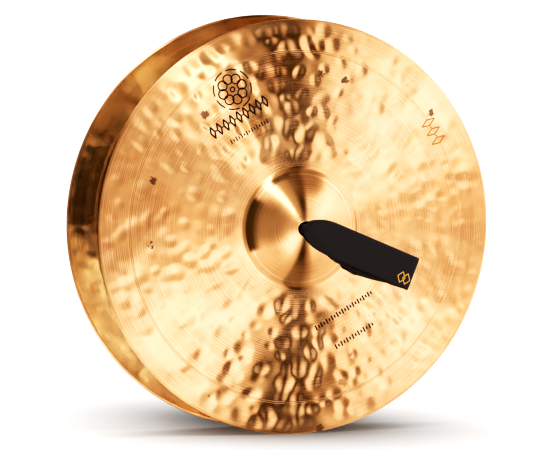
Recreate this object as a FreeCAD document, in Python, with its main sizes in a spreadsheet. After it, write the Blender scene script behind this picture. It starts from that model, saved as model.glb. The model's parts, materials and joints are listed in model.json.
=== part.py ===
import FreeCAD, Part
import math
import os
import Sketcher
from FreeCAD import Placement, Rotation, Vector

# A pair of orchestral hand cymbals, standing on edge and facing each other, with their leather hand straps.
# +Z is up. The cymbals share one axis, Y. The origin is on that axis, midway between the two rims.
#
# Each half is built in a frame of its own, then placed: its z is the cymbal's axis and points out of the bell,
# and its z = 0 is the plane that the rim lies in. The front half is turned so that its bell faces -Y, and the
# rear half so that its bell faces +Y.
#
# A strap is one piece of leather: a hand loop, and four tails that pass through the bell's hole and are tied
# against the inside of the bell. It bends at the mouth of the hole, so the loop and the tails are separate solids.

# Driving dimensions, in millimetres and degrees.
DIMENSIONS = {
    "cymbal_diameter": 406.4,
    "bell_diameter": 116.0,
    "bow_rise": 15.0,  # rim plane to the edge of the bell, on the inside
    "bow_crown": 1.3,  # how far the bow's arc stands above its chord
    "bell_rise": 15.5,  # edge of the bell to its top, on the inside
    "rim_thickness": 1.0,
    "bell_thickness": 1.5,
    "bell_root_radius": 7.0,  # the hollow curve where the bell meets the bow
    "rim_round": 0.35,
    "hole_diameter": 12.7,
    "rim_gap": 90.0,  # between the two rim planes at rest
    "leather_thickness": 1.9,
    "loop_length": 131.0,  # lift axis to the outside of the fold
    "loop_width": 34.0,
    "loop_gap": 2.3,  # between the loop's two layers
    "loop_root_width": 10.0,
    "loop_root_length": 9.0,  # lift axis to where the two layers part
    "nose_length": 36.0,  # over which the loop widens from its root
    "loop_droop": 9.7,  # the loop leans this far towards the bow
    "loop_hang": 22.3,  # and hangs this far below level
    "lift_height": 7.5,  # lift axis above the top of the bell, on the inside
    "neck_gap": 1.2,  # between the loop's rounded root and the ends of the tails
    "neck_inset": 1.2,  # tail's near face from the cymbal's axis, in the hole
    "neck_side": 0.3,  # tail's near edge from the cymbal's axis, in the hole
    "neck_width": 5.0,
    "tail_side": 2.6,  # tail's near edge from the cymbal's axis, in the knot
    "tail_width": 8.0,
    "knot_depth": 3.8,  # top of the bell inside to the middle of the tail's first run
    "knot_step": 2.3,  # from one layer of the knot to the next
    "knot_reach": 18.5,  # cymbal's axis to the outside of the tail's turn
    "tail_reach": 25.0,  # cymbal's axis to the tail's free end
    "tail_rise": 2.4,  # how far the free end turns up towards the bell
    "tail_bend": 2.6,  # radius of the tail's gentle bends, on its middle line
}

SKETCH_ORIGIN = (-1, 1)
H_AXIS = -1
V_AXIS = -2


def make_sheet(doc):
    """The spreadsheet that drives every size: a name and a value on each row."""
    sheet = doc.addObject("Spreadsheet::Sheet", "dims")
    for row, (name, number) in enumerate(DIMENSIONS.items(), start=1):
        sheet.set(f"A{row}", name)
        sheet.set(f"B{row}", str(number))
        sheet.setAlias(f"B{row}", name)
    doc.recompute()
    return sheet


def number(sheet, expression):
    """The value of a sheet expression, as a plain number."""
    result = sheet.evalExpression(expression)
    return float(getattr(result, "Value", result))


def new_body(doc, label):
    body = doc.addObject("PartDesign::Body", label)
    body.Label = label
    return body


def new_sketch(body, name, plane_role, offset_expression=None):
    """A sketch on one of the body's own origin planes, moved along the plane's normal if an offset is given."""
    sketch = body.newObject("Sketcher::SketchObject", f"{body.Name}_{name}")
    plane = next(f for f in body.Origin.OriginFeatures if f.Role == plane_role)
    sketch.AttachmentSupport = [(plane, "")]
    sketch.MapMode = "FlatFace"
    if offset_expression:
        sketch.setExpression("AttachmentOffset.Base.z", offset_expression)
    return sketch


def bind(sketch, index, expression):
    """Drive a sketch's dimension from the sheet."""
    sketch.setExpression(f"Constraints[{index}]", expression)


def fix_point(sheet, sketch, geometry, end, across, up):
    """Hold a point of a sketch at two sheet expressions. A coordinate of "0" puts it on that axis."""
    for kind, axis, expression in (("DistanceX", V_AXIS, across), ("DistanceY", H_AXIS, up)):
        if expression == "0":
            sketch.addConstraint(Sketcher.Constraint("PointOnObject", geometry, end, axis))
        else:
            value = number(sheet, expression)
            index = sketch.addConstraint(Sketcher.Constraint(kind, *SKETCH_ORIGIN, geometry, end, value))
            bind(sketch, index, expression)


def fix_radius(sheet, sketch, arc, expression):
    index = sketch.addConstraint(Sketcher.Constraint("Radius", arc, number(sheet, expression)))
    bind(sketch, index, expression)


def arc_between(start, end, radius, bulge_side):
    """The short arc from start to end with a given radius. bulge_side is +1 if it bulges to the left of the way."""
    chord = end - start
    middle = (start + end) * 0.5
    left = Vector(-chord.y, chord.x, 0).normalize()
    sagitta = radius - math.sqrt(radius**2 - (chord.Length / 2) ** 2)
    return Part.Arc(start, middle + left * sagitta * bulge_side, end)


def join(sketch, first, first_end, second, second_end, kind="Coincident"):
    sketch.addConstraint(Sketcher.Constraint(kind, first, first_end, second, second_end))


def end_near(sketch, geometry, point):
    """Which end of a sketch line or arc is at a point: 1 for its start, 2 for its end."""
    return 1 if sketch.getPoint(geometry, 1).distanceToPoint(point) < 1e-6 else 2


# The cymbal -------------------------------------------------------------------------------------------------------


def cymbal_section(sheet, body):
    """The closed section that is turned round the axis: rim, bow, bell and hole, outside and inside."""
    rim = "dims.cymbal_diameter / 2"
    edge = "dims.bell_diameter / 2"
    hole = "dims.hole_diameter / 2"
    half_chord = f"(({rim} - {edge})^2 + dims.bow_rise^2)^0.5 / 2"
    bow_radius = f"(({half_chord})^2 + dims.bow_crown^2) / (2 * dims.bow_crown)"
    bell_radius = f"(({edge})^2 + dims.bell_rise^2) / (2 * dims.bell_rise)"

    def at(across, up):
        return Vector(number(sheet, across), number(sheet, up), 0)

    def bell_height(base):
        """Where the bell's arc, which starts at the bell's edge at height base, meets the wall of the hole."""
        radius = number(sheet, bell_radius)
        centre = number(sheet, base) + number(sheet, "dims.bell_rise") - radius
        return centre + math.sqrt(radius**2 - number(sheet, hole) ** 2)

    inside_edge = "dims.bow_rise"
    outside_edge = "dims.bow_rise + dims.bell_thickness"
    rim_inside = Vector(number(sheet, rim), 0, 0)
    rim_outside = at(rim, "dims.rim_thickness")
    edge_outside = at(edge, outside_edge)
    edge_inside = at(edge, inside_edge)
    hole_outside = Vector(number(sheet, hole), bell_height(outside_edge), 0)
    hole_inside = Vector(number(sheet, hole), bell_height(inside_edge), 0)
    bow = number(sheet, bow_radius)
    bell = number(sheet, bell_radius)

    sketch = new_sketch(body, "section", "XZ_Plane")
    rim_wall = sketch.addGeometry(Part.LineSegment(rim_inside, rim_outside))
    bow_outside = sketch.addGeometry(arc_between(rim_outside, edge_outside, bow, -1))
    bell_outside = sketch.addGeometry(arc_between(edge_outside, hole_outside, bell, -1))
    hole_wall = sketch.addGeometry(Part.LineSegment(hole_outside, hole_inside))
    bell_inside = sketch.addGeometry(arc_between(hole_inside, edge_inside, bell, 1))
    bow_inside = sketch.addGeometry(arc_between(edge_inside, rim_inside, bow, 1))

    outline = [rim_wall, bow_outside, bell_outside, hole_wall, bell_inside, bow_inside]
    corners = [rim_outside, edge_outside, hole_outside, hole_inside, edge_inside, rim_inside]
    for here, (first, corner) in enumerate(zip(outline, corners)):
        second = outline[(here + 1) % len(outline)]
        join(sketch, first, end_near(sketch, first, corner), second, end_near(sketch, second, corner))

    fix_point(sheet, sketch, rim_wall, 1, rim, "0")
    fix_point(sheet, sketch, rim_wall, 2, rim, "dims.rim_thickness")
    fix_point(sheet, sketch, bow_outside, end_near(sketch, bow_outside, edge_outside), edge, outside_edge)
    fix_point(sheet, sketch, bow_inside, end_near(sketch, bow_inside, edge_inside), edge, inside_edge)
    for arc in (bow_outside, bow_inside):
        fix_radius(sheet, sketch, arc, bow_radius)
    for arc in (bell_outside, bell_inside):
        sketch.addConstraint(Sketcher.Constraint("PointOnObject", arc, 3, V_AXIS))
        fix_radius(sheet, sketch, arc, bell_radius)
    sketch.addConstraint(Sketcher.Constraint("Vertical", hole_wall))
    index = sketch.addConstraint(
        Sketcher.Constraint("DistanceX", *SKETCH_ORIGIN, hole_wall, 1, number(sheet, hole))
    )
    bind(sketch, index, hole)
    return sketch


def rings_of(shape, radius, low, high):
    """Names of the shape's full-circle edges of about one radius between two heights."""
    names = []
    for place, edge in enumerate(shape.Edges, start=1):
        circle = edge.Curve
        if not isinstance(circle, Part.Circle) or abs(circle.Radius - radius) > 0.01:
            continue
        if low < circle.Center.z < high:
            names.append(f"Edge{place}")
    return names


def add_fillet(body, base, name, edges, expression):
    fillet = body.newObject("PartDesign::Fillet", f"{body.Name}_{name}")
    fillet.Base = (base, edges)
    fillet.setExpression("Radius", expression)
    body.Document.recompute()
    return fillet


def make_cymbal(doc, sheet, label):
    """One turned bronze plate: a shallow bow that thins towards the rim, and a domed bell with a hole."""
    body = new_body(doc, label)
    sketch = cymbal_section(sheet, body)
    turned = body.newObject("PartDesign::Revolution", f"{label}_turned")
    turned.Profile = sketch
    turned.ReferenceAxis = (sketch, ["V_Axis"])
    turned.Angle = 360
    doc.recompute()

    bell_edge = number(sheet, "dims.bell_diameter / 2")
    rim = number(sheet, "dims.cymbal_diameter / 2")
    bow_rise = number(sheet, "dims.bow_rise")
    roots = rings_of(turned.Shape, bell_edge, bow_rise - 1, bow_rise + 3)
    eased = add_fillet(body, turned, "bell_root", roots, "dims.bell_root_radius")
    rims = rings_of(eased.Shape, rim, -1, number(sheet, "dims.rim_thickness") + 1)
    add_fillet(body, eased, "rim_round", rims, "dims.rim_round")
    return body


# The hand loop ----------------------------------------------------------------------------------------------------


def slot_outline(sheet, sketch, start, end, radius):
    """A long round-ended slot from one arc centre to the other, both on the sketch's level axis."""
    x0, x1, r = (number(sheet, e) for e in (start, end, radius))
    top = sketch.addGeometry(Part.LineSegment(Vector(x0, r, 0), Vector(x1, r, 0)))
    far = sketch.addGeometry(Part.Arc(Vector(x1, r, 0), Vector(x1 + r, 0, 0), Vector(x1, -r, 0)))
    low = sketch.addGeometry(Part.LineSegment(Vector(x1, -r, 0), Vector(x0, -r, 0)))
    near = sketch.addGeometry(Part.Arc(Vector(x0, -r, 0), Vector(x0 - r, 0, 0), Vector(x0, r, 0)))
    corners = [Vector(x1, r, 0), Vector(x1, -r, 0), Vector(x0, -r, 0), Vector(x0, r, 0)]
    for first, second, corner in zip((top, far, low, near), (far, low, near, top), corners):
        join(sketch, first, end_near(sketch, first, corner), second, end_near(sketch, second, corner), "Tangent")
    fix_point(sheet, sketch, far, 3, end, "0")
    fix_point(sheet, sketch, near, 3, start, "0")
    fix_radius(sheet, sketch, far, radius)


def nose_outline(sheet, sketch, side):
    """The leather cut away on one side of the nose: the loop widens from its root along a round shoulder."""
    back = "-(dims.leather_thickness * 2 + dims.loop_gap)"
    root = f"{side} * dims.loop_root_width / 2"
    full = f"{side} * dims.loop_width / 2"
    outer = f"{side} * (dims.loop_width / 2 + 2)"
    widening = "(dims.loop_width - dims.loop_root_width) / 2"
    shoulder = f"(dims.nose_length^2 + ({widening})^2) / (2 * {widening})"

    def at(across, up):
        return Vector(0 if across == "0" else number(sheet, across), number(sheet, up), 0)

    places = [(back, root), ("0", root), ("dims.nose_length", full), ("dims.nose_length", outer), (back, outer)]
    points = [at(*place) for place in places]
    edges = []
    for here, point in enumerate(points):
        after = points[(here + 1) % len(points)]
        if here == 1:
            curve = arc_between(point, after, number(sheet, shoulder), side)
        else:
            curve = Part.LineSegment(point, after)
        edges.append(sketch.addGeometry(curve))
    for here, edge in enumerate(edges):
        second = edges[(here + 1) % len(edges)]
        corner = points[(here + 1) % len(points)]
        join(sketch, edge, end_near(sketch, edge, corner), second, end_near(sketch, second, corner))
    for edge, place, point in zip(edges, places, points):
        fix_point(sheet, sketch, edge, end_near(sketch, edge, point), *place)
    fix_radius(sheet, sketch, edges[1], shoulder)


def make_grip(doc, sheet, label):
    """The hand loop: a band of leather folded back on itself, gathered to a narrow round root at the hole.

    Its own frame has the lift axis along y, and x along the loop.
    """
    body = new_body(doc, label)
    half_height = "(dims.leather_thickness * 2 + dims.loop_gap) / 2"
    sketch = new_sketch(body, "fold", "XZ_Plane")
    slot_outline(sheet, sketch, "0", f"dims.loop_length - {half_height}", half_height)
    slot_outline(
        sheet, sketch, "dims.loop_root_length", f"dims.loop_length - {half_height}", "dims.loop_gap / 2"
    )
    band = body.newObject("PartDesign::Pad", f"{label}_band")
    band.Profile = sketch
    band.Midplane = True
    band.setExpression("Length", "dims.loop_width")
    doc.recompute()

    plan = new_sketch(body, "plan", "XY_Plane")
    for side in (1, -1):
        nose_outline(sheet, plan, side)
    nose = body.newObject("PartDesign::Pocket", f"{label}_nose")
    nose.Profile = plan
    nose.Type = "ThroughAll"
    nose.Midplane = True
    doc.recompute()
    if nose.Shape.Volume > band.Shape.Volume - 1:
        raise RuntimeError(f"{label}: the nose pocket cut nothing")
    return body


# The tails --------------------------------------------------------------------------------------------------------


def path_sketch(sheet, body, name, stops):
    """An open path of straight runs in the body's XZ plane, rounded at each inner stop.

    Each stop is (across, up, bend radius), as sheet expressions. The first and the last have no bend.
    """
    points = [Vector(number(sheet, x), number(sheet, z), 0) for x, z, _ in stops]
    sketch = new_sketch(body, name, "XZ_Plane")
    start = points[0]
    runs = []
    bends = []
    for here in range(1, len(points)):
        corner = points[here]
        if here == len(points) - 1:
            runs.append(sketch.addGeometry(Part.LineSegment(start, corner)))
            break
        back = (points[here - 1] - corner).normalize()
        ahead = (points[here + 1] - corner).normalize()
        radius = number(sheet, stops[here][2])
        half_angle = back.getAngle(ahead) / 2
        leave = corner + back * (radius / math.tan(half_angle))
        rejoin = corner + ahead * (radius / math.tan(half_angle))
        inward = (back + ahead).normalize()
        middle = corner + inward * (radius / math.sin(half_angle) - radius)
        runs.append(sketch.addGeometry(Part.LineSegment(start, leave)))
        bends.append((sketch.addGeometry(Part.Arc(leave, middle, rejoin)), leave, rejoin))
        start = rejoin
    for place, (bend, leave, rejoin) in enumerate(bends):
        join(sketch, runs[place], 2, bend, end_near(sketch, bend, leave), "Tangent")
        join(sketch, bend, end_near(sketch, bend, rejoin), runs[place + 1], 1, "Tangent")
        across, up, radius = stops[place + 1]
        fix_radius(sheet, sketch, bend, radius)
        corner = sketch.addGeometry(Part.Point(points[place + 1]), True)
        fix_point(sheet, sketch, corner, 1, across, up)
        for run in (runs[place], runs[place + 1]):
            sketch.addConstraint(Sketcher.Constraint("PointOnObject", corner, 1, run))
    fix_point(sheet, sketch, runs[0], 1, *stops[0][:2])
    fix_point(sheet, sketch, runs[-1], 2, *stops[-1][:2])
    return sketch


def rectangle(sheet, sketch, low, high):
    """A rectangle between two corners, each a pair of sheet expressions."""
    x0, y0 = (number(sheet, e) for e in low)
    x1, y1 = (number(sheet, e) for e in high)
    corners = [Vector(x0, y0, 0), Vector(x1, y0, 0), Vector(x1, y1, 0), Vector(x0, y1, 0)]
    sides = [
        sketch.addGeometry(Part.LineSegment(corners[here], corners[(here + 1) % 4])) for here in range(4)
    ]
    for here, side in enumerate(sides):
        join(sketch, side, 2, sides[(here + 1) % 4], 1)
        kind = "Horizontal" if here % 2 == 0 else "Vertical"
        sketch.addConstraint(Sketcher.Constraint(kind, side))
    fix_point(sheet, sketch, sides[0], 1, *low)
    fix_point(sheet, sketch, sides[2], 1, *high)


def sweep(body, name, profile, path):
    pipe = body.newObject("PartDesign::AdditivePipe", f"{body.Name}_{name}")
    pipe.Profile = profile
    pipe.Spine = path
    body.Document.recompute()
    return pipe


def make_tail(doc, sheet, label):
    """One of the strap's four tails. Its own frame has z along the cymbal's axis, and z = 0 at the top of the bell.

    The narrow neck comes down through the hole and turns outwards. There it becomes the full-width strip, which
    turns back under itself, passes over one neighbour and under the next, and ends free on the far side.
    """
    body = new_body(doc, label)
    leather = "dims.leather_thickness"
    neck_middle = f"dims.neck_inset + {leather} / 2"
    neck_top = f"dims.lift_height - {leather} - dims.loop_gap / 2 - dims.neck_gap"
    first = "-dims.knot_depth"
    second = "-(dims.knot_depth + dims.knot_step)"
    third = "-(dims.knot_depth + 2 * dims.knot_step)"
    neck_end = f"{neck_middle} + dims.neck_width + dims.tail_side"
    strip_start = "dims.neck_width + 0.5"
    turn = f"dims.knot_reach - {leather} / 2"

    neck_path = path_sketch(
        sheet,
        body,
        "neck_path",
        [(neck_middle, neck_top, None), (neck_middle, first, "dims.tail_bend"), (neck_end, first, None)],
    )
    neck = new_sketch(body, "neck", "XY_Plane", neck_top)
    rectangle(
        sheet,
        neck,
        ("dims.neck_inset", "dims.neck_side"),
        (f"dims.neck_inset + {leather}", "dims.neck_side + dims.neck_width"),
    )
    sweep(body, "neck_sweep", neck, neck_path)

    strip_path = path_sketch(
        sheet,
        body,
        "strip_path",
        [
            (strip_start, first, None),
            (turn, first, "dims.knot_step * 0.4999"),
            (turn, second, "dims.knot_step * 0.4999"),
            ("dims.tail_side", second, "dims.tail_bend"),
            ("-dims.tail_side", third, "dims.tail_bend"),
            ("-(dims.tail_side + dims.tail_width + 1)", third, "dims.tail_bend"),
            ("-dims.tail_reach", f"{third} + dims.tail_rise", None),
        ],
    )
    strip = new_sketch(body, "strip", "YZ_Plane", strip_start)
    rectangle(
        sheet,
        strip,
        ("dims.tail_side", f"{first} - {leather} / 2"),
        ("dims.tail_side + dims.tail_width", f"{first} + {leather} / 2"),
    )
    sweep(body, "strip_sweep", strip, strip_path)
    return body


# The pair ---------------------------------------------------------------------------------------------------------


def half_placement(sheet, side):
    """From a half's own frame to the pair's: the rim plane upright, and the bell facing away from the middle."""
    upright = Rotation(Vector(1, 0, 0), 90)
    turned = Rotation(Vector(0, 0, 1), 0 if side < 0 else 180)
    middle = Vector(0, side * number(sheet, "dims.rim_gap") / 2, 0)
    return Placement(middle, turned * upright)


def make_half(doc, sheet, name, side):
    """One cymbal with its strap, placed in the pair."""
    half = half_placement(sheet, side)
    hang = Placement(Vector(), Rotation(Vector(0, 0, 1), -number(sheet, "dims.loop_hang")))
    bell_top = number(sheet, "dims.bow_rise + dims.bell_rise")

    cymbal = make_cymbal(doc, sheet, f"{name}_cymbal")
    cymbal.Placement = half

    grip = make_grip(doc, sheet, f"{name}_grip")
    lift_axis = Vector(0, 0, bell_top + number(sheet, "dims.lift_height"))
    droop = Rotation(Vector(0, 1, 0), number(sheet, "dims.loop_droop"))
    grip.Placement = half * hang * Placement(lift_axis, droop)

    parts = [cymbal, grip]
    for quarter, letter in enumerate("abcd"):
        tail = make_tail(doc, sheet, f"{name}_tail_{letter}")
        turn = Placement(Vector(0, 0, bell_top), Rotation(Vector(0, 0, 1), 90 * quarter))
        tail.Placement = half * hang * turn
        parts.append(tail)
    return parts


def check(doc, parts):
    """Stop if any object failed to build or any sub-part's shape is not one valid solid."""
    for thing in doc.Objects:
        if {"Invalid", "Error"} & set(thing.State):
            raise RuntimeError(f"{thing.Label} failed to build: {thing.State}")
    for part in parts:
        shape = part.Shape
        if shape.isNull() or not shape.isValid() or len(shape.Solids) != 1:
            raise RuntimeError(f"{part.Label} has no single valid solid")


def main():
    doc = FreeCAD.newDocument("hand_cymbals")
    sheet = make_sheet(doc)
    parts = make_half(doc, sheet, "front", -1) + make_half(doc, sheet, "rear", 1)
    doc.recompute()
    check(doc, parts)
    os.makedirs("parts", exist_ok=True)
    for part in parts:
        part.Shape.exportStep(os.path.join("parts", f"{part.Label}.step"))
        print(f"{part.Label}: {part.Shape.Volume:.0f} mm3")


main()
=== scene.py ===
"""Looks for a pair of hand cymbals: hammered, lathed bronze plates with black leather hand straps.

Everything is in metres in the frame's axes. The pair's common axis is Y: the front cymbal's bell points to -Y
and the rear cymbal's to +Y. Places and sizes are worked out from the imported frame.
"""

import json
import math

import bmesh
import bpy
import numpy as np
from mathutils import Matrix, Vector
from mathutils.bvhtree import BVHTree


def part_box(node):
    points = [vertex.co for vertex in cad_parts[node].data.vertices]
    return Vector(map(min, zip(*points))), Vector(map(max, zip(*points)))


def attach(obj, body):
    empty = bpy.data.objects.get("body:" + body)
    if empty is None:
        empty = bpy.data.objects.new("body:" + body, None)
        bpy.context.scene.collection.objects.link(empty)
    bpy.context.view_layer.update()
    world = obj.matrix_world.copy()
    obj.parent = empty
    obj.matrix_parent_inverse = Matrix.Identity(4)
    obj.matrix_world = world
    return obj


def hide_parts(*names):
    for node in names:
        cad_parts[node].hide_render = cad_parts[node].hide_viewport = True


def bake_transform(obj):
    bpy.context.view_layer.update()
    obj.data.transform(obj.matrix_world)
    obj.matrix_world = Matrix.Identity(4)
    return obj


MM = 0.001
SIDES = ("front", "rear")

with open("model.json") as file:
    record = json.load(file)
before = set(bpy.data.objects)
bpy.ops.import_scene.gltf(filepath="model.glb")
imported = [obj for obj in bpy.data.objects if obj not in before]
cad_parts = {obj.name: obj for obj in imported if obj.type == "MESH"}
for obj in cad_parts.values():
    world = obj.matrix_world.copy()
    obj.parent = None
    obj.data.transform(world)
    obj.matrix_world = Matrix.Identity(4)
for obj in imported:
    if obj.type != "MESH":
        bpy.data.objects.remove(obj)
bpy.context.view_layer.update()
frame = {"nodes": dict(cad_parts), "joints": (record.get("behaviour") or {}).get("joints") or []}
joints = {joint["name"]: joint for joint in frame["joints"]}
low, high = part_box("front_cymbal")
RADIUS = (high.x - low.x) / 2
RIM_GAP = -2 * high.y
FLOOR = low.z


# ------------------------------------------------------------------------------------------------------------
# Shader helpers
# ------------------------------------------------------------------------------------------------------------

class Graph:
    """Adds nodes to a material's or world's tree. A value is a number, a tuple or another node's output."""

    def __init__(self, tree):
        self.tree = tree
        tree.nodes.clear()

    def node(self, kind, inputs=None, **settings):
        made = self.tree.nodes.new("ShaderNode" + kind)
        for name, value in settings.items():
            setattr(made, name, value)
        for name, value in (inputs or {}).items():
            self.feed(made.inputs[name], value)
        return made

    def feed(self, socket, value):
        if isinstance(value, bpy.types.NodeSocket):
            self.tree.links.new(value, socket)
        else:
            socket.default_value = value

    def math(self, operation, *values):
        made = self.node("Math", operation=operation)
        for socket, value in zip(made.inputs, values):
            self.feed(socket, value)
        return made.outputs[0]

    def vector(self, operation, *values):
        made = self.node("VectorMath", operation=operation)
        for socket, value in zip(made.inputs, values):
            self.feed(socket, value)
        return made.outputs["Value" if operation == "DOT_PRODUCT" else "Vector"]

    def smooth(self, value, start, end, low=0.0, high=1.0):
        """low at value start, high at value end, with a smooth step between."""
        made = self.node("MapRange", {"Value": value}, interpolation_type="SMOOTHSTEP")
        for name, number in zip(("From Min", "From Max", "To Min", "To Max"), (start, end, low, high)):
            self.feed(made.inputs[name], number)
        return made.outputs["Result"]

    def ramp(self, value, stops):
        """Straight lines between the stops. Each stop is (place, level) or (place, (red, green, blue))."""
        made = self.node("ValToRGB", {"Fac": value})
        elements = made.color_ramp.elements
        made.color_ramp.interpolation = "LINEAR"
        while len(elements) < len(stops):
            elements.new(0.5)
        for element, (place, level) in zip(elements, stops):
            element.position = place
            element.color = (*level, 1) if isinstance(level, tuple) else (level, level, level, 1)
        return made.outputs["Color"]

    def noise(self, where, scale, detail=2.0, roughness=0.5, dimensions="3D"):
        socket = "W" if dimensions == "1D" else "Vector"
        made = self.node("TexNoise", noise_dimensions=dimensions)
        self.feed(made.inputs[socket], where)
        made.inputs["Scale"].default_value = scale
        made.inputs["Detail"].default_value = detail
        made.inputs["Roughness"].default_value = roughness
        return made.outputs[0]

    def mix(self, factor, first, second):
        made = self.node("Mix", data_type="RGBA")
        for name, value in (("Factor_Float", factor), ("A_Color", first), ("B_Color", second)):
            self.feed(next(s for s in made.inputs if s.identifier == name), value)
        return next(s for s in made.outputs if s.identifier == "Result_Color")

    def join(self, factor, first, second):
        """The first shader where the factor is 0, and the second where it is 1."""
        made = self.node("MixShader", {"Fac": factor})
        self.tree.links.new(first.outputs[0], made.inputs[1])
        self.tree.links.new(second.outputs[0], made.inputs[2])
        return made

    def finish(self, shader, kind="OutputMaterial"):
        """Makes the shader node the surface of the material or the world."""
        self.tree.links.new(shader.outputs[0], self.node(kind).inputs["Surface"])


def new_material(name):
    material = bpy.data.materials.new(name)
    material.use_nodes = True
    return material, Graph(material.node_tree)


def plain_material(name, inputs):
    """One even finish with the given shader inputs, for thin marks."""
    material, graph = new_material(name)
    graph.finish(graph.node("BsdfPrincipled", inputs))
    return material


def add_object(name, data):
    made = bpy.data.objects.new(name, data)
    bpy.context.scene.collection.objects.link(made)
    return made


def smooth_shaded(mesh):
    mesh.polygons.foreach_set("use_smooth", np.ones(len(mesh.polygons), bool))


# ------------------------------------------------------------------------------------------------------------
# Camera, floor and studio
# ------------------------------------------------------------------------------------------------------------

CAMERA_AZIMUTH = -20.7
CAMERA_ELEVATION = 4.2
CAMERA_DISTANCE = 40 * RADIUS
CAMERA_LENS = 544.7
CAMERA_SENSOR = 36.0
CAMERA_SHIFT_RIGHT = -0.089 * RADIUS
CAMERA_SHIFT_UP = 0.0083 * RADIUS
# The picture's tone curve, as (scene light, developed light): deep warm shadows and gentle highlights.
TONE_CURVE = ((0.0, 0.0), (0.051, 0.006), (0.17, 0.062), (0.38, 0.296), (0.638, 0.656), (1.0, 1.0))


def add_camera():
    azimuth, elevation = math.radians(CAMERA_AZIMUTH), math.radians(CAMERA_ELEVATION)
    back = Vector((math.sin(azimuth) * math.cos(elevation), -math.cos(azimuth) * math.cos(elevation),
                   math.sin(elevation)))
    right = Vector((math.cos(azimuth), math.sin(azimuth), 0))
    up = back.cross(right)
    data = bpy.data.cameras.new("camera")
    data.lens = CAMERA_LENS
    data.sensor_width = CAMERA_SENSOR
    data.clip_end = 100
    camera = add_object("camera", data)
    front_rim = Vector((0, -RIM_GAP / 2, 0))
    camera.location = front_rim + CAMERA_SHIFT_RIGHT * right + CAMERA_SHIFT_UP * up + CAMERA_DISTANCE * back
    camera.rotation_mode = "QUATERNION"
    camera.rotation_quaternion = back.to_track_quat("Z", "Y")
    bpy.context.scene.camera = camera
    return camera


def develop():
    settings = bpy.context.scene.view_settings
    settings.view_transform = "Standard"
    settings.use_curve_mapping = True
    all_channels = settings.curve_mapping.curves[3]
    points = all_channels.points
    points[1].location = TONE_CURVE[-1]
    for light, developed in TONE_CURVE[1:-1]:
        points.new(light, developed)
    settings.curve_mapping.update()


FLOOR_HALF = 60.0
FLOOR_COLOUR = (0.95, 0.95, 0.95, 1)
# A painted shadow on the floor under the pair, a soft grey pool: its middle, its spread, its strength and its
# colour.
PAINTED_SHADOW_CENTRE = (0.11 * RADIUS, 0.46 * RADIUS, 0.0)
PAINTED_SHADOW_SPREAD = (0.45 * RADIUS, 0.72 * RADIUS, 1.0)
PAINTED_SHADOW_STRENGTH = 0.94
PAINTED_SHADOW_COLOUR = (0.047, 0.054, 0.062, 1)


def add_floor():
    mesh = bpy.data.meshes.new("floor")
    mesh.from_pydata([(x * FLOOR_HALF, y * FLOOR_HALF, FLOOR) for x, y in ((-1, -1), (1, -1), (1, 1), (-1, 1))],
                     [], [(0, 1, 2, 3)])
    floor = add_object("floor", mesh)
    material, graph = new_material("floor")
    # The painted shadow is a bell curve in the distance from its middle.
    place = graph.vector("SUBTRACT", graph.node("TexCoord").outputs["Object"], PAINTED_SHADOW_CENTRE)
    place = graph.vector("DIVIDE", place, PAINTED_SHADOW_SPREAD)
    flat = graph.vector("MULTIPLY", place, (1, 1, 0))
    painted_shadow = graph.math("EXPONENT", graph.math("MULTIPLY", graph.vector("DOT_PRODUCT", flat, flat), -0.5))
    colour = graph.mix(graph.math("MULTIPLY", painted_shadow, PAINTED_SHADOW_STRENGTH), FLOOR_COLOUR, PAINTED_SHADOW_COLOUR)
    graph.finish(graph.node("BsdfDiffuse", {"Color": colour}))
    mesh.materials.append(material)
    floor.visible_glossy = False


def add_light_rig(camera):
    """An empty that has the camera's rotation mirrored in the plane across the cymbals' axis.

    A flat disc across the axis mirrors the camera's forward direction, so in this empty's space the disc
    always reflects the direction (0, 0, -1), from whichever side the camera looks. The studio is laid out
    round it.
    """
    mirror = add_object("studio_mirror", None)
    mirror.scale = (1, -1, 1)
    rig = add_object("studio_rig", None)
    rig.parent = mirror
    follow = rig.constraints.new("COPY_ROTATION")
    follow.target = camera
    follow.target_space = "WORLD"
    follow.owner_space = "LOCAL"
    return rig


# Brightness of the studio round the disc's mirror direction, anticlockwise from the right: (degrees, level).
SECTORS = ((0, 0.86), (35, 0.99), (60, 0.93), (78, 0.82), (86, 0.0), (95, 0.0), (102, 0.45), (114, 0.61),
           (119, 1.0), (134, 0.90), (150, 0.69), (176, 0.80), (190, 0.90), (202, 1.0), (242, 0.98),
           (253, 0.80), (260, 0.66), (266, 0.0), (276, 0.0), (284, 0.38), (295, 0.89), (325, 1.0), (360, 0.86))
# Away from the mirror direction the dark sectors are less dark: degrees off at the start and end, least level.
FAR_LEVEL = (22, 40, 0.26)
# The light's colour by level: warm where it is dim and white where it is bright.
LIGHT_GAIN = 2.2
LIGHT_COLOURS = ((0.0, (0.110, 0.075, 0.03)), (0.25, (0.398, 0.305, 0.243)), (0.5, (0.615, 0.499, 0.463)),
                 (0.66, (0.854, 0.698, 0.654)), (0.86, (1.137, 1.042, 1.158)), (1.0, (1.45, 1.50, 1.95)))
# Dark cards: (degrees round, degrees off the mirror direction, inner and outer radius in degrees, strength).
CARDS = ((171, 38, 10, 28, 0.50), (232, 46, 10, 24, 0.20), (305, 46, 12, 26, 0.20), (73, 48, 6, 20, 0.52),
         (352, 19, 3, 9, 0.30))
# Dark curved cards far off the mirror direction: (from and to degrees round, start and full degrees off).
ARCS = ((145, 208, 45, 51), (94, 118, 50, 54))
ARC_LEVEL = 0.03
ARC_FEATHER = 3
# The studio as light that has bounced between the plates sees it: brighter from above than from below.
GAP_SECTORS = ((0, 0.44), (50, 0.58), (80, 1.0), (150, 1.0), (205, 0.60), (232, 0.45), (244, 0.70),
               (300, 0.55), (360, 0.44))
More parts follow.
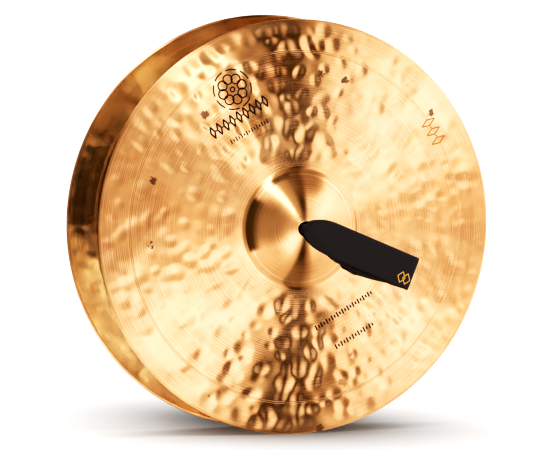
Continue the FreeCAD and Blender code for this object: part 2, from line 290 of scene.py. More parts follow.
# Bronze takes green and blue out of the light at each bounce. How much each further bounce between the plates
# puts back, so that the gap glows gold and not red, and how many bounces are tinted and followed.
BOUNCE_TINT = (1.30, 2.07, 4.1)
MOST_TINTED = 4.0
MOST_BOUNCES = 6
# A dark card low down, which only the light between the plates sees, as in CARDS.
GAP_CARD = (268, 104, 18, 68, 0.90)
# A narrow bright strip on one radius: (degrees round, half widths, from and to degrees off, times brighter).
STRIP = (123, 3, 9, 8, 22, 1.5)
# The light on rough surfaces: its strength at the horizon, and how much more comes from straight above.
SKY_LEVEL = 0.95
SKY_FROM_ABOVE = 0.60


def studio_direction(around, off):
    """The direction in the rig's space that lies so many degrees round, and off, the mirror direction."""
    a, o = math.radians(around), math.radians(off)
    return (math.sin(o) * math.cos(a), math.sin(o) * math.sin(a), -math.cos(o))


def within(graph, cosine, start, end, low=0.0, high=1.0):
    """low at start degrees off a direction and high at end degrees off it, from the angle's cosine."""
    return graph.smooth(cosine, math.cos(math.radians(start)), math.cos(math.radians(end)), low, high)


def card_shade(graph, place, card):
    """How much light a dark card leaves in each direction: 1 beyond its edge, less in front of it."""
    around, off, inner, outer, strength = card
    near = graph.vector("DOT_PRODUCT", place, studio_direction(around, off))
    return within(graph, near, outer, inner, 1, 1 - strength)


def sector_level(graph, turn, sectors):
    """The brightness at a share of a turn, in straight lines between the sectors' levels."""
    return graph.ramp(turn, [(degrees / 360, level) for degrees, level in sectors])


def studio_level(graph, place, turn, forward, further):
    """How bright the studio is in each direction, for the first reflection and for further ones."""
    level = sector_level(graph, turn, SECTORS)
    gap_level = sector_level(graph, turn, GAP_SECTORS)
    gap_level = graph.math("MULTIPLY", gap_level, card_shade(graph, place, GAP_CARD))
    level = graph.mix(graph.math("MINIMUM", further, 1.0), level, gap_level)
    start, end, least = FAR_LEVEL
    level = graph.math("MAXIMUM", level, within(graph, forward, start, end, 0.0, least))
    for card in CARDS:
        level = graph.math("MULTIPLY", level, card_shade(graph, place, card))
    for first, last, start, end in ARCS:
        window = graph.math("MULTIPLY",
                            graph.smooth(turn, (first - ARC_FEATHER) / 360, (first + ARC_FEATHER) / 360),
                            graph.smooth(turn, (last + ARC_FEATHER) / 360, (last - ARC_FEATHER) / 360))
        keep = graph.math("SUBTRACT", 1.0, graph.math("MULTIPLY", window, within(graph, forward, start, end)))
        level = graph.math("MULTIPLY_ADD", graph.math("SUBTRACT", level, ARC_LEVEL), keep, ARC_LEVEL)
    return level


def strip_gain(graph, turn, forward):
    """How many times brighter the narrow strip makes each direction."""
    around, inner, outer, start, end, times = STRIP
    beside = graph.math("ABSOLUTE", graph.math("SUBTRACT", turn, around / 360))
    across = graph.smooth(beside, outer / 360, inner / 360)
    along = within(graph, forward, start, end)
    return graph.math("MULTIPLY_ADD", graph.math("MULTIPLY", across, along), times - 1.0, 1.0)


def add_studio(rig):
    """The world: the camera sees plain white, rough surfaces a soft sky, and glossy ones the studio."""
    world = bpy.data.worlds.new("studio")
    bpy.context.scene.world = world
    world.use_nodes = True
    world.cycles.sampling_method = "NONE"
    bpy.context.scene.cycles.glossy_bounces = MOST_BOUNCES
    bpy.context.scene.cycles.max_bounces = MOST_BOUNCES
    graph = Graph(world.node_tree)
    ray = graph.node("LightPath").outputs

    place = graph.vector("NORMALIZE", graph.node("TexCoord", object=rig).outputs["Object"])
    axes = graph.node("SeparateXYZ", {"Vector": place}).outputs
    turn = graph.math("DIVIDE", graph.math("ARCTAN2", axes["Y"], axes["X"]), 2 * math.pi)
    turn = graph.math("FRACT", graph.math("ADD", turn, 1.0))
    forward = graph.math("MULTIPLY", axes["Z"], -1.0)
    further = graph.math("MAXIMUM", graph.math("SUBTRACT", ray["Glossy Depth"], 1.0), 0.0)
    further = graph.math("MINIMUM", further, MOST_TINTED)

    level = studio_level(graph, place, turn, forward, further)
    colours = [(at, tuple(c / LIGHT_GAIN for c in colour)) for at, colour in LIGHT_COLOURS]
    tint = graph.node("CombineXYZ", {axis: graph.math("POWER", share, further)
                                     for axis, share in zip("XYZ", BOUNCE_TINT)}).outputs[0]
    colour = graph.vector("MULTIPLY", graph.ramp(level, colours), tint)
    strength = graph.math("MULTIPLY", strip_gain(graph, turn, forward), LIGHT_GAIN)
    mirrored = graph.node("Background", {"Color": colour, "Strength": strength})

    up = graph.node("SeparateXYZ", {"Vector": graph.node("TexCoord").outputs["Generated"]}).outputs["Z"]
    sky = graph.math("MULTIPLY_ADD", graph.math("MAXIMUM", up, 0.0), SKY_FROM_ABOVE, SKY_LEVEL)
    soft = graph.node("Background", {"Color": (1, 1, 1, 1), "Strength": sky})
    plain = graph.node("Background", {"Color": (1, 1, 1, 1), "Strength": 1.0})
    lit = graph.join(ray["Is Glossy Ray"], soft, mirrored)
    graph.finish(graph.join(ray["Is Camera Ray"], lit, plain), "OutputWorld")


# ------------------------------------------------------------------------------------------------------------
# Bronze plates
# ------------------------------------------------------------------------------------------------------------

RIM_ROUND = 0.35 * MM
OUTER_STEP = 1.5 * MM
INNER_STEP = 2.4 * MM
LONGEST_EDGE = 2.25 * MM
FEWEST_SEGMENTS = 36
# The hammer blows: between which radii, how far apart round and between the rings, and the share left out.
HAMMERED_FROM = 63 * MM
HAMMERED_TO = 201 * MM
BLOW_PITCH = 15.5 * MM
BLOW_RING_PITCH = 13 * MM
BLOWS_MISSED = 0.12
WAVES = 26
PROFILE_STEP = 1.4 * MM
HOLE_ROUND = 0.4 * MM
# The lathe's grooves, and where the tonal grooves, the painted highlight line on the bell, rim band and
# polished edge lie on the radius.
GROOVE_PITCH = 1.9 * MM
TONAL_GROOVES = (0.842, 0.850)
BELL_HIGHLIGHT_LINE = 0.262
RIM_BAND = (0.91, 0.97)
POLISHED_EDGE = (0.968, 0.978)
FLECKS_FROM = (0.66, 0.70)
BELL_EDGE = (0.30, 0.33)
ROUGH_OUTSIDE = (0.105, 0.135)
ROUGH_INSIDE = (0.065, 0.095)
ANISOTROPIC_TURN = 0.25
EDGE_TINT = (0.90, 0.66, 0.40, 1)


def hermite(at, places, values):
    """A smooth curve through the points, with no corners."""
    slopes = np.gradient(values, places)
    i = np.clip(np.searchsorted(places, at) - 1, 0, len(places) - 2)
    width = places[i + 1] - places[i]
    t = np.clip((at - places[i]) / width, 0, 1)
    return ((1 + 2 * t) * (1 - t) ** 2 * values[i] + t * (1 - t) ** 2 * width * slopes[i]
            + t * t * (3 - 2 * t) * values[i + 1] + t * t * (t - 1) * width * slopes[i + 1])


def surface_profile(node, facing):
    """Radii and heights (along Y) of the rings of the plate's surface that faces +Y or -Y."""
    mesh = frame["nodes"][node].data
    points = np.array([v.co for v in mesh.vertices])
    normals = np.array([v.normal for v in mesh.vertices])
    flat = points[normals[:, 1] * facing > 0.5]
    radii = np.hypot(flat[:, 0], flat[:, 2])
    order = np.argsort(radii)
    radii, heights = radii[order], flat[order, 1]
    kept = [0]
    for i in range(1, len(radii)):
        if radii[i] - radii[kept[-1]] > PROFILE_STEP:
            kept.append(i)
    if kept[-1] != len(radii) - 1:
        kept[-1] = len(radii) - 1
    return radii[kept], heights[kept]


def hammer_marks(seed):
    """The hammer blows, in uneven rings: centre x and z, radius, depth, and how oval it is and which way."""
    random = np.random.default_rng(seed)
    marks = []
    ring = HAMMERED_FROM
    while ring < HAMMERED_TO:
        count = int(2 * math.pi * ring / BLOW_PITCH)
        phase = random.uniform(0, 2 * math.pi)
        for k in range(count):
            if random.uniform() < BLOWS_MISSED:
                continue
            angle = phase + 2 * math.pi * (k + random.uniform(-0.34, 0.34)) / count
            radius = ring + random.uniform(-4.0, 4.0) * MM
            size = random.uniform(6.0, 12.5) * MM
            depth = random.uniform(0.05, 0.31) * MM * (size / (9 * MM)) ** 1.2
            marks.append((radius * math.cos(angle), radius * math.sin(angle), size, depth,
                          random.uniform(0.62, 1.0), random.uniform(0, math.pi)))
        ring += BLOW_RING_PITCH
    return np.array(marks)


def hammered(x, z, marks, seed):
    """How far each point is pushed in: dents, and the slow waves that hammering leaves in the plate."""
    pushed = np.zeros(len(x))
    for cx, cz, size, depth, oval, turn in marks:
        index = np.flatnonzero((np.abs(x - cx) < size) & (np.abs(z - cz) < size))
        dx, dz = x[index] - cx, z[index] - cz
        long, short = dx * math.cos(turn) + dz * math.sin(turn), dz * math.cos(turn) - dx * math.sin(turn)
        d2 = (long ** 2 + (short / oval) ** 2) / size ** 2
        pushed[index] += depth * np.clip(1 - d2, 0, 1) ** 1.9
    random = np.random.default_rng(seed + 1)
    for _ in range(WAVES):
        angle, phase = random.uniform(0, 2 * math.pi, 2)
        length = random.uniform(24, 60) * MM
        height = 0.0006 * length * random.uniform(0.4, 1.0)
        pushed += height * np.sin(2 * math.pi * (x * math.cos(angle) + z * math.sin(angle)) / length + phase)
    r = np.hypot(x, z)
    start = np.clip((r - HAMMERED_FROM + 2 * MM) / (12 * MM), 0, 1)
    end = np.clip((RADIUS - r) / (6 * MM), 0, 1)
    return pushed * start * start * (3 - 2 * start) * (0.25 + 0.75 * end)


def ring_segments(radius):
    """The fewest segments, doubled until no edge round the ring is longer than LONGEST_EDGE."""
    count = FEWEST_SEGMENTS
    while 2 * math.pi * radius / count > LONGEST_EDGE:
        count *= 2
    return count


def stitch(faces, a, b, facing):
    """Faces between two rings, given as (first vertex, segments); one may have twice the other's segments."""
    (start_a, count_a), (start_b, count_b) = a, b
    made = []
    if count_a == count_b:
        for i in range(count_a):
            j = (i + 1) % count_a
            made.append((start_a + i, start_a + j, start_b + j, start_b + i))
    else:
        flip = count_a > count_b
        coarse, fine, count = (start_b, start_a, count_b) if flip else (start_a, start_b, count_a)
        for i in range(count):
            j = (i + 1) % count
            f0, f1, f2 = fine + 2 * i, fine + 2 * i + 1, fine + (2 * i + 2) % (2 * count)
            corners = [(coarse + i, f1, f0), (coarse + i, coarse + j, f1), (coarse + j, f2, f1)]
            made.extend([tuple(reversed(c)) for c in corners] if flip else corners)
    faces.extend(made if facing > 0 else [tuple(reversed(f)) for f in made])


def add_cymbal(side, seed):
    """The frame's plate again, ring by ring, with the hammer's dents in both faces."""
    node = side + "_cymbal"
    outward = -1 if side == "front" else 1
    outer_r, outer_y = surface_profile(node, outward)
    inner_r, inner_y = surface_profile(node, -outward)
    hole = outer_r[0]
    marks = hammer_marks(seed)

    outer_rings = np.linspace(hole + HOLE_ROUND, RADIUS - RIM_ROUND, round((RADIUS - hole) / OUTER_STEP))
    inner_rings = np.linspace(RADIUS - RIM_ROUND, hole + HOLE_ROUND, round((RADIUS - hole) / INNER_STEP))
    outer_heights = hermite(outer_rings, outer_r, outer_y)
    inner_heights = hermite(inner_rings, inner_r, inner_y)
    rim_height = (outer_heights[-1] + inner_heights[0]) / 2
    edge = HOLE_ROUND * outward
    # Each ring is (radius, height, share of the hammering): from the hole out to the rim, round it and back.
    rings = [(hole, inner_y[0] + edge, 1.0)]
    rings += [(hole, outer_y[0] - edge, 1.0)]
    rings += [(r, y, 1.0) for r, y in zip(outer_rings, outer_heights)]
    rings += [(RADIUS, rim_height, 0.8)]
    rings += [(r, y, 0.6) for r, y in zip(inner_rings, inner_heights)]

    xs, ys, zs, shares, starts = [], [], [], [], []
    first = 0
    for r, y, share in rings:
        count = ring_segments(r)
        angles = 2 * math.pi * np.arange(count) / count
        xs.append(r * np.cos(angles))
        zs.append(r * np.sin(angles))
        ys.append(np.full(count, y))
        shares.append(np.full(count, share))
        starts.append((first, count))
        first += count
    x, y, z, share = (np.concatenate(a) for a in (xs, ys, zs, shares))
    y = y - outward * share * hammered(x, z, marks, seed)
    faces = []
    for a, b in zip(starts, starts[1:] + starts[:1]):
        stitch(faces, a, b, outward)
    mesh = bpy.data.meshes.new(side + "_plate")
    mesh.from_pydata(np.column_stack((x, y, z)).tolist(), [], faces)
    smooth_shaded(mesh)
    normals = np.zeros(len(mesh.polygons) * 3)
    mesh.polygons.foreach_get("normal", normals)
    mesh.polygons.foreach_set("material_index", (normals[1::3] * outward < 0).astype(np.int32))
    mesh.update()
    plate = add_object(side + "_plate", mesh)
    mesh.materials.append(bronze(side + "_bronze", seed))
    mesh.materials.append(bronze(side + "_bronze_inside", seed + 1, inside=True))
    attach(plate, node)
    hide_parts(node)
    return plate


def ring_line(graph, radius, at, full, gone):
    """1 near the circle at that share of the rim's radius, and 0 further from it than gone."""
    off = graph.math("ABSOLUTE", graph.math("SUBTRACT", radius, at * RADIUS))
    return graph.smooth(off, full, gone, 1.0, 0.0)


def beyond(graph, radius, shares, low=0.0, high=1.0):
    """low inside the first share of the rim's radius, and high outside the second."""
    start, end = shares
    return graph.smooth(radius, start * RADIUS, end * RADIUS, low, high)


def lathe_marks(graph, flat, radius):
    """The fine grooves, uneven in depth, and the depth itself, which changes slowly over the plate."""
    phase = graph.math("ADD", graph.math("MULTIPLY", radius, 2 * math.pi / GROOVE_PITCH),
                       graph.math("MULTIPLY", graph.noise(radius, 260.0, 1.0, dimensions="1D"), 9.0))
    grooves = graph.math("MULTIPLY_ADD", graph.math("SINE", phase), 0.5, 0.5)
    fine = graph.noise(radius, 1500.0, 3.0, 0.6, dimensions="1D")
    lathe = graph.math("ADD", graph.math("MULTIPLY", grooves, 0.6), graph.math("MULTIPLY", fine, 0.5))
    depth = graph.smooth(graph.noise(flat, 30.0, 2.0), 0.35, 0.62, 0.25, 1.0)
    return graph.math("MULTIPLY", lathe, depth), depth


def flecks(graph, flat, radius):
    """A few small dark flecks with ragged edges on the outer bow."""
    cells = graph.node("TexVoronoi", {"Vector": flat, "Scale": 34.0, "Randomness": 1.0}, feature="F1")
    ragged = graph.math("MULTIPLY", graph.noise(flat, 260.0, 3.0, 0.65), 0.34)
    edge = graph.math("ADD", cells.outputs["Distance"], ragged)
    picked = graph.node("SeparateColor", {"Color": cells.outputs["Color"]}).outputs["Red"]
    shape = graph.smooth(edge, 0.29, 0.315, 1.0, 0.0)
    fleck = graph.math("MULTIPLY", shape, graph.smooth(picked, 0.66, 0.665))
    return graph.math("MULTIPLY", fleck, beyond(graph, radius, FLECKS_FROM))


def bronze(name, seed, inside=False):
    """Lathed bronze: highlights stretched across the lathe grooves, painted shade along the lathe grooves,
    tonal grooves, a painted highlight line on the bell, stains and flecks.
    """
    material, graph = new_material(name)
    axes = graph.node("SeparateXYZ", {"Vector": graph.node("TexCoord").outputs["Object"]}).outputs
    flat = graph.node("CombineXYZ", {"X": axes["X"], "Y": axes["Z"], "Z": float(seed)}).outputs[0]
    radius = graph.math("SQRT", graph.math("ADD", graph.math("MULTIPLY", axes["X"], axes["X"]),
                                           graph.math("MULTIPLY", axes["Z"], axes["Z"])))
    lathe, lathe_depth = lathe_marks(graph, flat, radius)
    bands = graph.noise(radius, 95.0, 1.0, dimensions="1D")
    tonal = 0.0
    for at in TONAL_GROOVES:
        tonal = graph.math("MAXIMUM", ring_line(graph, radius, at, 0.0, 0.7 * MM), tonal)
    # A painted highlight: a thin pale line in the colour round the bell.
    bell_highlight = ring_line(graph, radius, BELL_HIGHLIGHT_LINE, 0.2 * MM, 0.9 * MM)
    on_bell = beyond(graph, radius, BELL_EDGE, 1.0, 0.0)
    rim_band = beyond(graph, radius, RIM_BAND)
    stain = graph.noise(flat, 14.0, 3.0, 0.55)
    fleck = flecks(graph, flat, radius)

    colour = graph.mix(graph.smooth(stain, 0.35, 0.65), (0.95, 0.63, 0.32, 1), (0.94, 0.66, 0.35, 1))
    # Painted shade: the colour darkens along the lathe grooves, more on the inner faces.
    deepest_groove_shade = 0.55 if inside else 0.32
    painted_groove_shade = graph.math("MULTIPLY", graph.smooth(lathe, 0.15, 0.75, 0.0, deepest_groove_shade), lathe_depth)
    colour = graph.mix(painted_groove_shade, colour, (0.50, 0.22, 0.07, 1))
    # Darker tonal grooves, dark flecks, and the painted highlight line on the bell.
    for amount, strength, tone in ((tonal, 0.35, (0.50, 0.26, 0.10, 1)), (fleck, 0.65, (0.16, 0.06, 0.02, 1)),
                                   (bell_highlight, 0.5, (1.0, 0.86, 0.62, 1))):
        colour = graph.mix(graph.math("MULTIPLY", amount, strength), colour, tone)

    rough = graph.smooth(stain, 0.3, 0.7, *(ROUGH_INSIDE if inside else ROUGH_OUTSIDE))
    rough = graph.math("ADD", rough, graph.math("MULTIPLY", graph.smooth(bands, 0.3, 0.7), 0.03))
    rough = graph.math("ADD", rough, graph.math("MULTIPLY", fleck, 0.25))
    rough = graph.math("SUBTRACT", rough, graph.math("MULTIPLY", on_bell, 0.02))
    if inside:
        colour = graph.mix(graph.smooth(stain, 0.42, 0.58, 0.0, 0.3), colour, (0.60, 0.30, 0.10, 1))
    else:
        colour = graph.mix(graph.math("MULTIPLY", rim_band, 0.12), colour, (0.78, 0.42, 0.16, 1))
        rough = graph.math("ADD", rough, graph.math("MULTIPLY", rim_band, 0.05))

    polished = beyond(graph, radius, POLISHED_EDGE)
    height = graph.math("MULTIPLY", lathe, 0.03 * MM)
    for amount, rise in ((bands, 0.03 * MM), (tonal, -0.05 * MM), (polished, -0.03 * MM)):
        height = graph.math("ADD", height, graph.math("MULTIPLY", amount, rise))
    bump = graph.node("Bump", {"Height": height, "Strength": 1.0, "Distance": 1.0})
    stretch = graph.math("SUBTRACT", 1.0, graph.math("MULTIPLY", on_bell, 0.35))
    tangent = graph.node("Tangent", direction_type="RADIAL", axis="Y")
    graph.finish(graph.node("BsdfPrincipled", {
        "Base Color": colour, "Metallic": 1.0, "Specular Tint": EDGE_TINT,
        "Roughness": rough, "Anisotropic": stretch, "Anisotropic Rotation": ANISOTROPIC_TURN,
        "Normal": bump.outputs["Normal"], "Tangent": tangent.outputs["Tangent"]}))
    return material


# ------------------------------------------------------------------------------------------------------------
# Leather straps
# ------------------------------------------------------------------------------------------------------------

LEATHER_THICKNESS = 1.9 * MM
LEATHER_EDGE = 0.55 * MM
NECK_DEPTH = 6.8 * MM
NECK_HALF_WIDTH = 4.6 * MM
NOSE_UPPER = 27 * MM
NOSE_LOWER = 41 * MM
# How far the lower layer hangs below the upper one, and between which distances from the hole. The hanging edge
# is a dark band of leather that stands in for the strap's shadow on the bronze.
SHADOW_SLACK = 5.0 * MM
SHADOW_SLACK_FROM = 28 * MM
SHADOW_SLACK_TO = 122 * MM
SECTION_POINTS = 19


class Strap:
    """One strap's own directions: along the loop, across it, and out from the cymbal, from the lift axis."""

    def __init__(self, side):
        joint = joints[side + "_strap_lift"]
        self.pivot = Vector(joint["pos_m"])
        axis = Vector(joint["axis"]).normalized()
        self.across = axis if axis.z > 0 else -axis
        points = [v.co - self.pivot for v in frame["nodes"][side + "_grip"].data.vertices]
        middle = sum(points, Vector()) / len(points)
        self.along = (middle - self.across * middle.dot(self.across)).normalized()
        self.out = self.along.cross(self.across)
        if self.out.y * self.pivot.y < 0:
            self.out = -self.out
        self.reach = max(p.dot(self.along) for p in points)
        self.half_width = max(abs(p.dot(self.across)) for p in points)
        self.layer = max(abs(p.dot(self.out)) for p in points) - LEATHER_THICKNESS / 2

    def point(self, along, across, out):
        return self.pivot + self.along * along + self.across * across + self.out * out


def bezier(a, b, c, d, count):
    """Points along a cubic curve with the given ends and handles."""
    t = np.linspace(0, 1, count)[:, None]
    a, b, c, d = (np.array(p, float) for p in (a, b, c, d))
    return (1 - t) ** 3 * a + 3 * t * (1 - t) ** 2 * b + 3 * t * t * (1 - t) * c + t ** 3 * d


def loop_path(strap):
    """Centre line of the leather in the (along, out) plane, and where on it the lower layer starts.

    The line comes out of the hole, runs along the top, folds, runs back underneath and goes in again.
    """
    up, reach = strap.layer, strap.reach - LEATHER_THICKNESS / 2
    rise_a, rise_b = -2.2 * MM, 1.7 * MM
    top = bezier((rise_a, -NECK_DEPTH), (rise_a, 0), (-1.2 * MM, up), (7 * MM, up), 26)
    run = np.column_stack((np.linspace(7 * MM, reach - 6 * MM, 48)[1:], np.full(47, up)))
    fold_out = bezier((reach - 6 * MM, up), (reach - 2 * MM, up), (reach, up * 0.85), (reach, 0), 10)[1:]
    fold_in = bezier((reach, 0), (reach, -up * 0.85), (reach - 2 * MM, -up), (reach - 6 * MM, -up), 10)[1:]
    back = np.column_stack((np.linspace(reach - 6 * MM, 12 * MM, 44)[1:], np.full(43, -up)))
    down = bezier((12 * MM, -up), (5 * MM, -up), (rise_b, -up - 1 * MM), (rise_b, -NECK_DEPTH), 14)[1:]
    return np.concatenate((top, run, fold_out, fold_in, back, down)), len(top) + len(run) + len(fold_out)


def nose_width(along, half_width, nose):
    """Half width of the strap at a distance along it: a bullet nose that widens from the neck."""
    u = np.clip((nose - along) / (nose + 2 * MM), 0, 1)
    return np.maximum(half_width * np.sqrt(1 - u * u), NECK_HALF_WIDTH)


def layer_widths(strap, along, top_layer):
    """How far the layer reaches above and below the centre line, at a distance along the strap."""
    upper = nose_width(along, strap.half_width, NOSE_UPPER)
    lower = nose_width(along, strap.half_width, NOSE_LOWER)
    if top_layer:
        return upper, lower
    along = max(along, 0)
    tuck = 0.62 + 0.38 * min(along / (45 * MM), 1)
    # The lower layer hangs out below the upper one as a dark band that stands in for the strap's shadow.
    shadow_slack = SHADOW_SLACK * math.sin(math.pi * min(max((along - SHADOW_SLACK_FROM) / (SHADOW_SLACK_TO - SHADOW_SLACK_FROM), 0), 1)) ** 1.8
    return upper * tuck - 1.0 * MM, lower * tuck + shadow_slack - 0.4 * MM


def band_section(strap, centre, normal, top_layer, wave):
    """The leather's outline at one place, as (along, across, out): over one face and back over the other."""
    along = max(centre[0], 0)
    upper, lower = layer_widths(strap, centre[0], top_layer)
    fade = max(0.0, 1 - along / (34 * MM)) ** 1.2
    droop = (5.5 if top_layer else 0.7) * MM * fade
    ripple = 0.12 * MM * math.sin(along / (17 * MM) + wave[0]) * min(along / (40 * MM), 1)
    section = []
    for face in (1, -1):
        for share in np.linspace(-1, 1, SECTION_POINTS) * face:
            width = (upper if share > 0 else lower) - LEATHER_EDGE
            bulge = math.copysign(LEATHER_EDGE, share) * 0.4 if abs(share) > 0.999 else 0.0
            thick = LEATHER_THICKNESS / 2 * (1 - max(0.0, (abs(share) - 0.93) / 0.07) ** 2 * 0.45)
            sag = droop * share * share + ripple * (1 + 0.5 * math.sin(3 * share + wave[1]))
            p = centre + normal * face * thick + np.array((0, -sag))
            section.append((p[0], share * width + bulge, p[1]))
    return section


def fix_normals(mesh):
    """Turns every face outwards."""
    work = bmesh.new()
    work.from_mesh(mesh)
    bmesh.ops.recalc_face_normals(work, faces=work.faces)
    work.to_mesh(mesh)
    work.free()


def add_grip(side, seed, material):
    """The hand loop: one closed band of leather swept along its centre line."""
    strap = Strap(side)
    path, folded = loop_path(strap)
    tangent = np.gradient(path, axis=0)
    tangent /= np.linalg.norm(tangent, axis=1)[:, None]
    normals = np.column_stack((-tangent[:, 1], tangent[:, 0]))
    wave = np.random.default_rng(seed).uniform(0, 2 * math.pi, 4)
    sections = [band_section(strap, centre, normal, i < folded, wave)
                for i, (centre, normal) in enumerate(zip(path, normals))]
    points = [strap.point(*p) for section in sections for p in section]
    ring = 2 * SECTION_POINTS
    faces = []
    for start in range(0, len(points) - ring, ring):
        for k in range(ring):
            m = (k + 1) % ring
            faces.append((start + k, start + m, start + ring + m, start + ring + k))
    faces.append(tuple(range(ring)))
    faces.append(tuple(range(len(points) - ring, len(points))))
    mesh = bpy.data.meshes.new(side + "_hand_loop")
    mesh.from_pydata(points, [], faces)
    mesh.validate()
    smooth_shaded(mesh)
    piece = add_object(side + "_hand_loop", mesh)
    fix_normals(mesh)
    mesh.materials.append(material)
    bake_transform(piece)
    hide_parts(side + "_grip")
    return strap, piece


def surface_tree(piece):
    mesh = piece.data
    return BVHTree.FromPolygons([v.co for v in mesh.vertices], [tuple(p.vertices) for p in mesh.polygons])


STROKE_STEP = 1.2 * MM
MARK_LIFT = 0.05 * MM
TAIL_VOXEL = 0.5 * MM


def arc_stroke(cx, cy, radius, start, end):
    """Points along an arc, in degrees, close enough together to follow a hammered surface."""
    count = max(4, round(abs(end - start) * math.pi / 180 * radius / STROKE_STEP))
    angles = [math.radians(start + (end - start) * i / count) for i in range(count + 1)]
    return [(cx + radius * math.cos(a), cy + radius * math.sin(a)) for a in angles]


def line_stroke(*corners):
    """Points along straight lines from corner to corner, as close together as an arc's."""
    points = [corners[0]]
    for (x0, y0), (x1, y1) in zip(corners, corners[1:]):
        count = max(1, round(math.hypot(x1 - x0, y1 - y0) / STROKE_STEP))
        points += [(x0 + (x1 - x0) * i / count, y0 + (y1 - y0) * i / count) for i in range(1, count + 1)]
    return points


def lozenge(x, half_width, half_height):
    return line_stroke((x - half_width, 0), (x, half_height), (x + half_width, 0), (x, -half_height),
                       (x - half_width, 0))


def rosette(radius):
    """Eight open petals round a dot, inside a broken ring."""
    strokes = []
    petal_place, petal_size = 0.55 * radius, 0.24 * radius
    for k in range(8):
        a = math.radians(45 * k)
        strokes.append(arc_stroke(petal_place * math.cos(a), petal_place * math.sin(a), petal_size, 0, 360))
        strokes.append(arc_stroke(0, 0, radius, 45 * k + 6, 45 * k + 39))
    strokes.append(arc_stroke(0, 0, 0.12 * radius, 0, 360))
    return strokes


def lozenge_row(length, height, count):
    """A row of lozenges with a short dash between each pair."""
    strokes = []
    pitch = length / count
    for k in range(count):
        x = -length / 2 + pitch * (k + 0.5)
        strokes.append(lozenge(x, pitch * 0.30, height / 2))
        if k < count - 1:
            strokes.append(line_stroke((x + pitch * 0.42, 0), (x + pitch * 0.58, 0)))
    return strokes


def tick_row(length, height, count):
    """A row of small upright ticks, every other one shorter."""
    strokes = []
    for k in range(count):
        x = -length / 2 + length * (k + 0.5) / count
        tall = height * (0.5 if k % 2 == 0 else 0.28)
        strokes.append(line_stroke((x, -tall), (x, tall)))
    return strokes


def add_marks(name, strokes, width, to_world, direction, tree, material, body):
    """Ribbons along the strokes, laid on the surface that rays in the given direction hit."""
    vertices, faces = [], []
    for stroke in strokes:
        closed = math.hypot(stroke[0][0] - stroke[-1][0], stroke[0][1] - stroke[-1][1]) < 1e-7
        for i, (u, v) in enumerate(stroke):
            before = stroke[i - 1] if i else (stroke[-2] if closed else stroke[0])
            after = stroke[i + 1] if i < len(stroke) - 1 else (stroke[1] if closed else stroke[-1])
            du, dv = after[0] - before[0], after[1] - before[1]
            size = math.hypot(du, dv)
            for sign in (-0.5, 0.5):
                origin = to_world(u - sign * width * dv / size, v + sign * width * du / size)
                hit = tree.ray_cast(origin, direction)[0] or origin
                vertices.append(hit - direction * MARK_LIFT)
            if i:
                n = len(vertices)
                faces.append((n - 4, n - 3, n - 1, n - 2))
    mesh = bpy.data.meshes.new(name)
    mesh.from_pydata(vertices, [], faces)
    mesh.update()
    if mesh.polygons[0].normal.dot(direction) > 0:
        mesh.flip_normals()
    piece = add_object(name, mesh)
    mesh.materials.append(material)
    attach(piece, body)


def add_bow_marks(plate):
    """Generic ornaments in ink, and a stamped one, on the front cymbal's bow, set square to its radius."""
    ink = plain_material("black_ink", {"Base Color": (0.030, 0.013, 0.006, 1), "Roughness": 0.5,
                                       "Specular IOR Level": 0.3})
    stamp = plain_material("stamped_bronze", {"Base Color": (0.62, 0.30, 0.09, 1), "Metallic": 0.7,
                                              "Roughness": 0.45})
    # Each mark is (name, degrees round from the right, share of the radius, line width, strokes, material).
    marks = (
        ("rosette_mark", 116, 0.745, 1.15 * MM, rosette(0.095 * RADIUS), ink),
        ("lozenge_mark", 119, 0.615, 1.4 * MM, lozenge_row(0.34 * RADIUS, 0.060 * RADIUS, 9), ink),
        ("upper_tick_mark", 118, 0.53, 1.0 * MM, tick_row(0.22 * RADIUS, 0.022 * RADIUS, 15), ink),
        ("middle_tick_mark", -60, 0.468, 1.3 * MM, tick_row(0.34 * RADIUS, 0.026 * RADIUS, 22), ink),
        ("lower_tick_mark", -61, 0.605, 1.3 * MM, tick_row(0.23 * RADIUS, 0.026 * RADIUS, 14), ink),
        ("stamp_mark", 32, 0.84, 1.1 * MM, lozenge_row(0.15 * RADIUS, 0.08 * RADIUS, 3), stamp),
    )
    tree = surface_tree(plate)
    in_front = Vector((0, -0.5, 0))
    for name, around, off, width, strokes, material in marks:
        a = math.radians(around)
        outwards = Vector((math.cos(a), 0, math.sin(a)))
        up = outwards * (1 if around > 0 else -1)
        right = Vector((up.z, 0, -up.x))
        centre = outwards * off * RADIUS + in_front
        add_marks(name, strokes, width, lambda u, v: centre + right * u + up * v, Vector((0, 1, 0)), tree,
                  material, "front_cymbal")


def add_foil_mark(strap, loop):
    """Two interlocked gold foil lozenges by the fold of the front strap."""
    foil = plain_material("gold_foil", {"Base Color": (0.85, 0.55, 0.15, 1), "Metallic": 0.8, "Roughness": 0.4})
    strokes = [lozenge(x, 4.5 * MM, 5.5 * MM) for x in (-4.5 * MM, 1.5 * MM)]
    middle, below, above = strap.reach - 9 * MM, 7 * MM, 20 * MM
    add_marks("foil_mark", strokes, 1.1 * MM, lambda u, v: strap.point(middle + u, v - below, above),
              -strap.out, surface_tree(loop), foil, "front_grip")


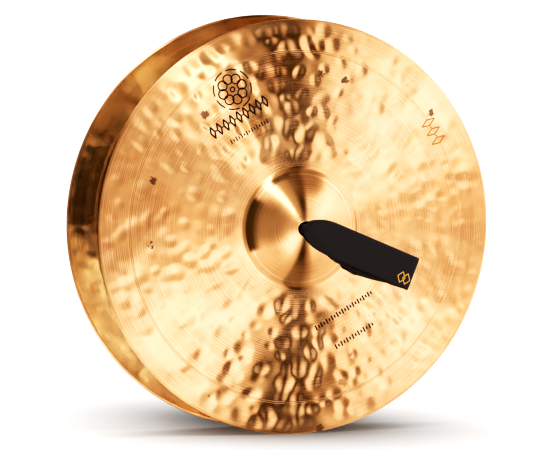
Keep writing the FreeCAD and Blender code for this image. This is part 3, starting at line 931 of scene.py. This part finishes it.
def add_tails(side, material):
    """The four tails of the knot: the frame's tails, softened into leather thongs."""
    for letter in "abcd":
        node = f"{side}_tail_{letter}"
        rough = add_object(f"{side}_rough_{letter}", frame["nodes"][node].data.copy())
        remesh = rough.modifiers.new("remesh", "REMESH")
        remesh.mode = "VOXEL"
        remesh.voxel_size = TAIL_VOXEL
        remesh.use_smooth_shade = True
        soften = rough.modifiers.new("soften", "SMOOTH")
        soften.factor = 0.6
        soften.iterations = 3
        bpy.context.view_layer.update()
        mesh = bpy.data.meshes.new_from_object(rough.evaluated_get(bpy.context.evaluated_depsgraph_get()))
        bpy.data.objects.remove(rough)
        mesh.materials.clear()
        mesh.materials.append(material)
        piece = add_object(f"{side}_thong_{letter}", mesh)
        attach(piece, side + "_knot")
        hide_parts(node)


def leather():
    """Black strap leather: fine pebbled grain, slow tone changes and a satin finish."""
    material, graph = new_material("strap_leather")
    place = graph.node("TexCoord").outputs["Object"]
    tone = graph.noise(place, 60.0, 4.0, 0.6)
    cells = graph.node("TexVoronoi", {"Vector": place, "Scale": 1500.0}, feature="DISTANCE_TO_EDGE")
    pebble = graph.smooth(cells.outputs["Distance"], 0.0, 0.28)
    creases = graph.noise(place, 260.0, 3.0, 0.6)
    colour = graph.mix(tone, (0.052, 0.041, 0.036, 1), (0.066, 0.053, 0.047, 1))
    between = graph.math("MULTIPLY", graph.math("SUBTRACT", 1.0, pebble), 0.5)
    colour = graph.mix(between, colour, (0.030, 0.024, 0.020, 1))
    rough = graph.smooth(tone, 0.3, 0.7, 0.42, 0.52)
    pebbled, creased = graph.math("MULTIPLY", pebble, 0.05 * MM), graph.math("MULTIPLY", creases, 0.12 * MM)
    height = graph.math("ADD", pebbled, creased)
    bump = graph.node("Bump", {"Height": height, "Strength": 0.6, "Distance": 1.0})
    graph.finish(graph.node("BsdfPrincipled", {
        "Base Color": colour, "Roughness": rough, "Specular IOR Level": 0.35,
        "Normal": bump.outputs["Normal"]}))
    return material


# ------------------------------------------------------------------------------------------------------------
# The scene
# ------------------------------------------------------------------------------------------------------------

develop()
the_camera = add_camera()
add_floor()
add_studio(add_light_rig(the_camera))
strap_leather = leather()
for number, name in enumerate(SIDES):
    plate = add_cymbal(name, 11 + 20 * number)
    strap, loop = add_grip(name, 5 + number, strap_leather)
    add_tails(name, strap_leather)
    if name == "front":
        add_bow_marks(plate)
        add_foil_mark(strap, loop)
